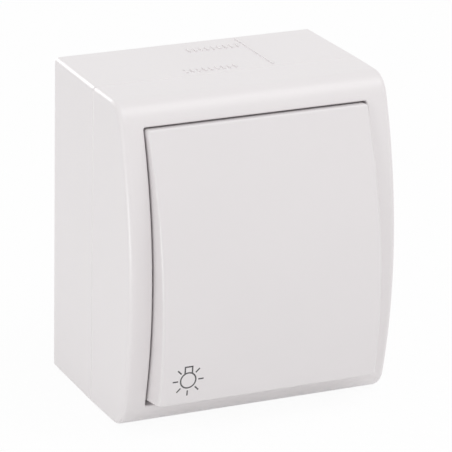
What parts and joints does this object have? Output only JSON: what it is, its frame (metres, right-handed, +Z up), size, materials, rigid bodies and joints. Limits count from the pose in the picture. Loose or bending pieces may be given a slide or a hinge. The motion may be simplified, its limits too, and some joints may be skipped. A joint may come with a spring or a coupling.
{
  "type": "surface mounted light switch",
  "caption": "Surface mounted push switch: a box fixed to the wall, a rounded front cover and a large sprung rocker key marked with a lamp, which works a contact inside.",
  "frame": {"origin": "centre of the back box's outer face, which lies on the wall", "axes": "+Y into the wall, so the key faces -Y; +Z up along the height; +X to the right seen from the front"},
  "size_m": [0.065, 0.0505, 0.0752],
  "materials": {
    "casing_plastic": "smooth glossy off-white moulding",
    "key_plastic": "smooth glossy off-white moulding",
    "symbol_plastic": "dark grey inlay",
    "entry_rubber": "light grey soft rubber",
    "seal_rubber": "black soft rubber",
    "plated_steel": "bright zinc plating",
    "spring_steel": "drawn wire",
    "lever_plastic": "natural white moulding",
    "mechanism_plastic": "dark grey moulding",
    "contact_brass": "stamped strip",
    "contact_silver": "silver rivet"
  },
  "bodies": {
    "casing": {"back_box": "casing_plastic", "front_cover": "casing_plastic", "cover_seal": "seal_rubber", "cable_grommet": "entry_rubber", "cover_screws": "plated_steel", "cover_screw_seals": "seal_rubber", "return_spring": "spring_steel", "neck_seal": "seal_rubber", "mechanism_housing": "mechanism_plastic", "mechanism_base": "mechanism_plastic", "mechanism_screws": "plated_steel", "fixed_contact": "contact_brass", "fixed_contact_tip": "contact_silver", "common_terminal": "contact_brass", "terminal_clamps": "contact_brass", "terminal_screws": "plated_steel"},
    "key": {"rocker": "key_plastic", "lamp_symbol": "symbol_plastic", "actuator_lever": "lever_plastic", "plunger_spring": "spring_steel"},
    "plunger": {"plunger": "lever_plastic"},
    "moving_contact": {"moving_contact": "contact_brass", "moving_contact_tip": "contact_silver"}
  },
  "joints": [
    {"name": "rocker_press", "type": "hinge", "parent": "casing", "child": "key", "pos_m": [0, -0.03715, 0], "axis": [1, 0, 0], "range_deg": [0, 14.2], "stiffness_Nm_per_rad": 0.25, "springref_deg": -2.86, "deforming": ["return_spring"]},
    {"name": "plunger_slide", "type": "slide", "parent": "key", "child": "plunger", "axis": [0, -0.9923, 0.1236], "range_m": [0, 0.0006], "stiffness_N_per_m": 60, "deforming": ["plunger_spring"]},
    {"name": "contact_tilt", "type": "hinge", "parent": "casing", "child": "moving_contact", "pos_m": [0, -0.015, 0], "axis": [1, 0, 0], "range_deg": [-18, 0]}
  ],
  "couplings": [
    {"joint": "contact_tilt", "follows": "rocker_press", "ratio": -1.2676}
  ]
}
